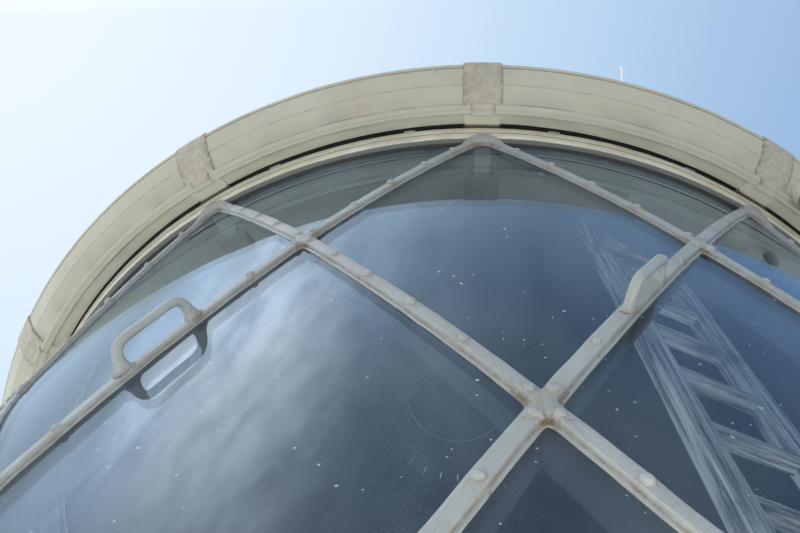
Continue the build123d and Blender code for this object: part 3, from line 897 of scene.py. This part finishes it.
def softEnds(outline, half, stations, centre, depth):
    # the outline shrinks a little towards a line inside the gutter as it nears each end
    turn = np.linspace(-1, 1, stations)
    turn = np.sign(turn) * (1 - (1 - np.abs(turn)) ** 1.6)
    shrink = 1 - np.clip((np.abs(turn) - 0.90) / 0.10, 0, 1) ** 2 * depth / 0.02
    angle = (bayAngles[:, None] + turn * half)[:, :, None]
    middle = np.array(centre)
    local = middle + (outline - middle) * shrink[:, None, None]
    radius, height = local[..., 0], local[..., 1] + gutterValues["base"]
    wave = ripple(stacked(radius, angle * 2.0, height), 0.06, 61) * strapValues["lump"]
    place = stacked(runLength(outline), angle * 2.0, 0.0)
    return onDrum(angle, height + wave, radius + wave * 0.5), place, np.abs(turn)[None, :, None]


strapLine = strapOutline()
points, place, end = softEnds(
    strapLine, strapValues["half"], strapValues["stations"], strapValues["middle"], strapValues["endDepth"])
# painted shade: the heel in the ventilation gap is painted near black
heel = (strapLine[:, 1] < -0.019) & (strapLine[:, 0] < 1.88)
straps = points, place, 0.36 + end ** 8 * 0.8, heel * strapValues["heelShade"]
sleeveCorners = beadCorners(strapValues["sleeveGrow"], 11) + [(1.952, -0.030), (1.913, -0.030)]
points, place, end = softEnds(
    softCorners(sleeveCorners, 0.0025, 3), strapValues["sleeveHalf"], strapValues["sleeveStations"],
    strapValues["sleeveMiddle"], strapValues["sleeveEndDepth"])
sleeves = points, place, 0.22 + end ** 4 * 0.7, 0.0
tubeMesh("jointStraps", [straps, sleeves], cornicePaint, ["joint_straps"])

# A near-black strip along the top edge of the glass, between the bars, shaped as a mastic seal and painted as
# shade: it stands for the shadow line under the head ring
sealAndShadowValues = {"height": 0.006, "thick": 0.0095, "halfTurn": 0.232, "stations": 60, "lump": 0.0006}
low, top = ringBottom - sealAndShadowValues["height"], ringBottom + 0.001
back, front = glassRadius - 0.001, glassRadius + sealAndShadowValues["thick"]
sealAndShadowOutline = softCorners([(back, low), (front, low + 0.002), (front, top), (back, top)], 0.0012, 3)
start, end = bay / 2 - sealAndShadowValues["halfTurn"], bay / 2 + sealAndShadowValues["halfTurn"]
angle = (bayAngles[:, None] + np.linspace(start, end, sealAndShadowValues["stations"]))[:, :, None]
wave = ripple(stacked(angle, angle, angle), 0.04, 71) * sealAndShadowValues["lump"]
height = sealAndShadowOutline[:, 1] + wave * (sealAndShadowOutline[:, 1] < ringBottom - 0.003)
tubeMesh("glassSealAndShadowLine", [(onDrum(angle, height, sealAndShadowOutline[:, 0]),)], sealAndShadowStrip)
print("cornice made")

# Head ring: a channel open to the inside whose face flares outwards to the top
ringValues = {
    "inner": 1.733,
    "low": 1.853,
    "high": 1.867,
    "wall": 0.014,
    "stations": 480,
    # how far up the face each corner of the groove lies, and how deep
    "groove": ((0.40, 0), (0.425, 0.0022), (0.455, 0.0022), (0.47, -0.0008)),
}


def headRingPiece():
    # the outline of the channel in radius and height, turned all the way round from the back
    inner, low, high, wall = (ringValues[label] for label in ("inner", "low", "high", "wall"))
    rise = ringTop - ringBottom - 0.008
    groove = [(low + (high - low) * share - deep, ringBottom + 0.005 + rise * share)
              for share, deep in ringValues["groove"]]
    outline = softCorners(
        [(inner, ringBottom), (low - 0.006, ringBottom), (low, ringBottom + 0.005), *groove,
         (high, ringTop - 0.003), (high - 0.004, ringTop), (inner, ringTop), (inner, ringTop - wall),
         (high - wall, ringTop - wall), (low - wall, ringBottom + wall), (inner, ringBottom + wall)],
        [0.002] * 3 + [0.0008] * 4 + [0.002] * 4 + [0.004, 0.004, 0.002], 3)
    angle = np.linspace(np.pi, 3 * np.pi, ringValues["stations"], endpoint=False)[None, :, None]
    radius, height = outline[:, 0], outline[:, 1]
    place = stacked(radius * np.sin(angle), radius * np.cos(angle), height)
    # only the face has waves
    wave = (ripple(place, 0.2, 81) * 0.0006 + ripple(place, 0.04, 82) * 0.0004) * (radius > 1.84)
    return onDrum(angle, height + wave * 0.7, radius + wave)


tubeMesh("headRing", [(headRingPiece(),)], ringPaint, ["head_ring"], looped=True)

# A bent wire on the rim
wireValues = {
    "thick": 0.0032,
    "angle": 0.236,
    "corner": 0.008,
    # distance aside, radius and height of each bend
    "bends": ((0, 2.056, 3.425), (0.002, 2.058, 3.452), (-0.002, 2.076, 3.476), (0.002, 2.088, 3.506),
              (0.000, 2.096, 3.530)),
}
aside, radius, height = softCorners(wireValues["bends"], wireValues["corner"], 5, False).T[:, :, None]
turn = np.linspace(0, 2 * np.pi, 8, endpoint=False)
angle = wireValues["angle"] + (aside + wireValues["thick"] * np.cos(turn)) / 2.06
wirePoints = onDrum(angle, height, radius + wireValues["thick"] * np.sin(turn))
tubeMesh("rimWire", [(wirePoints[None],)], wirePaint)
print("head ring made")

# Floor, light and camera
floorValues = {"colour": (0.80, 0.77, 0.70, 1), "roughness": 0.9, "half": 14.0}
floorMesh = bpy.data.meshes.new("floor")
half = floorValues["half"]
floorCorners = [(-half, -half, 0), (half, -half, 0), (half, half, 0), (-half, half, 0)]
floorMesh.from_pydata(floorCorners, [], [(0, 1, 2, 3)])
floorPaint, _, floorShader = newMaterial("floorPaint")
plug(floorShader, "Base Color", floorValues["colour"])
plug(floorShader, "Roughness", floorValues["roughness"])
floorMesh.materials.append(floorPaint)
floor = bpy.data.objects.new("floor", floorMesh)
bpy.context.scene.collection.objects.link(floor)

# direction to the lamp from the point it shines at, distance, size, watts, colour, and that point
lampValues = {
    "softKey": ((-0.407, 0.080, 1.046), 9.0, 4.5, 900.0, (1, 0.96, 0.9), (0, 0, 2.5)),
    "frontFill": ((0.35, -1, 0.15), 8.0, 5.0, 22.0, (0.80, 0.90, 1), (0, 0, 2.5)),
    "leftFill": ((-1, -0.12, 0.3), 8.0, 4.0, 380.0, (0.84, 0.93, 1), (0, 0, 2.5)),
    "insideFill": ((-0.05, 0.12, -1), 2.6, 1.2, 22.0, (1, 0.96, 0.88), (0.1, -1.9, 3.3)),
    "lowFill": ((0, -0.5, -1), 3.4, 3.0, 30.0, (1, 0.97, 0.9), (0, -1.9, 3.3)),
}


def addLamp(name, direction, distance, size, power, colour, aim):
    data = bpy.data.lights.new(name, "AREA")
    data.shape, data.size, data.energy, data.color = "DISK", size, power, colour
    lamp = bpy.data.objects.new(name, data)
    towards = unit(direction)
    side = unit(np.cross((0, 1, 0), towards))
    columns = stacked(side, np.cross(towards, side), towards, towards * distance + aim)
    lamp.matrix_world = Matrix([*columns.tolist(), (0, 0, 0, 1)])
    lamp.visible_glossy = lamp.visible_camera = False
    bpy.context.scene.collection.objects.link(lamp)


for lampName, values in lampValues.items():
    addLamp(lampName, *values)

# Sky: a ramp round the sun's place, a patch of haze with a bright middle, and a plain band at the horizon
skyValues = {
    "strength": 2.0,
    "sunPlace": (-0.55, -0.05, 0.83),
    "rampEnds": ((0.40, (0.14, 0.22, 0.35, 1)), (1.0, (0.44, 0.48, 0.51, 1))),
    "rampSpots": ((0.60, (0.20, 0.29, 0.41, 1)), (0.75, (0.27, 0.36, 0.46, 1)),
                  (0.90, (0.38, 0.44, 0.50, 1))),
    "hazePlace": (-0.5, -0.33, 0.8),
    "hazeFrom": (0.78, 0.98),
    "haze": (0.95, 1.10, 1.30),
    "brightFrom": (0.955, 1.0),
    "bright": (2.2, 2.2, 2.2),
    "veil": (2.2, 5, 0.6, (1, 1, 2)),
    "wisps": (5.0, 8, 0.7, (1, 2.2, 1)),
    "behindFrom": (-0.02, 0.07),
    "horizon": (0.34, 0.38, 0.43),
    "horizonFrom": (0.15, 0.5),
}
world = bpy.data.worlds.new("studio")
bpy.context.scene.world = world
world.use_nodes = True
tree = world.node_tree
direction = addNode(tree, "TexCoord").outputs["Generated"]
split = addNode(tree, "SeparateXYZ", {"Vector": direction}).outputs
towardsSun = vectorMaths("DOT_PRODUCT", {0: direction}, {1: skyValues["sunPlace"]})
towardsHaze = vectorMaths("DOT_PRODUCT", {0: direction}, {1: skyValues["hazePlace"]})
ramp = addNode(tree, "ValToRGB", {"Fac": towardsSun})
for element, (spot, tone) in zip(ramp.color_ramp.elements, skyValues["rampEnds"]):
    element.position, element.color = spot, tone
for spot, tone in skyValues["rampSpots"]:
    ramp.color_ramp.elements.new(spot).color = tone
veil = noise(direction, *skyValues["veil"])
wisps = noise(direction, *skyValues["wisps"])
# the haze lies in the half of the sky behind the camera, where only the glass shows it
behindView = between(split["Y"], *skyValues["behindFrom"], (1, 0))
haze = between(towardsHaze, *skyValues["hazeFrom"])
haze = times(haze, between(veil, 0.34, 0.62, (0.30, 0.95)))
haze = times(haze, behindView)
haze = times(haze, between(wisps, 0.36, 0.62, (0.68, 1.12)))
bright = between(towardsHaze, *skyValues["brightFrom"])
bright = times(bright, between(wisps, 0.38, 0.62, (0.25, 1)))
bright = times(bright, behindView)
overhead = blend(haze, ramp.outputs["Color"], skyValues["haze"])
overhead = blend(bright, overhead, skyValues["bright"])
aboveHorizon = between(split["Z"], *skyValues["horizonFrom"])
sky = blend(aboveHorizon, skyValues["horizon"], overhead)
background = tree.nodes["Background"]
plug(background, "Color", sky)
plug(background, "Strength", skyValues["strength"])

cameraValues = {
    "place": (-0.159975, -2.424815, ringTop - 2.565668),
    "lens": 34.43,
    "turn": (-0.11009, 1.17448, 0.11502),  # yaw, pitch and roll
}
yaw, pitch, roll = cameraValues["turn"]
ahead = np.array([np.sin(yaw) * np.cos(pitch), np.cos(yaw) * np.cos(pitch), np.sin(pitch)])
level = np.array([np.cos(yaw), -np.sin(yaw), 0])
upright = np.cross(level, ahead)
right = np.cos(roll) * level + np.sin(roll) * upright
up = -np.sin(roll) * level + np.cos(roll) * upright
cameraData = bpy.data.cameras.new("camera")
cameraData.lens = cameraValues["lens"]
cameraData.sensor_width = 36
camera = bpy.data.objects.new("camera", cameraData)
camera.matrix_world = Matrix([*stacked(right, up, -ahead, cameraValues["place"]).tolist(), (0, 0, 0, 1)])
bpy.context.scene.collection.objects.link(camera)
bpy.context.scene.camera = camera
bpy.context.scene.view_settings.view_transform = "Standard"
print("stage set")
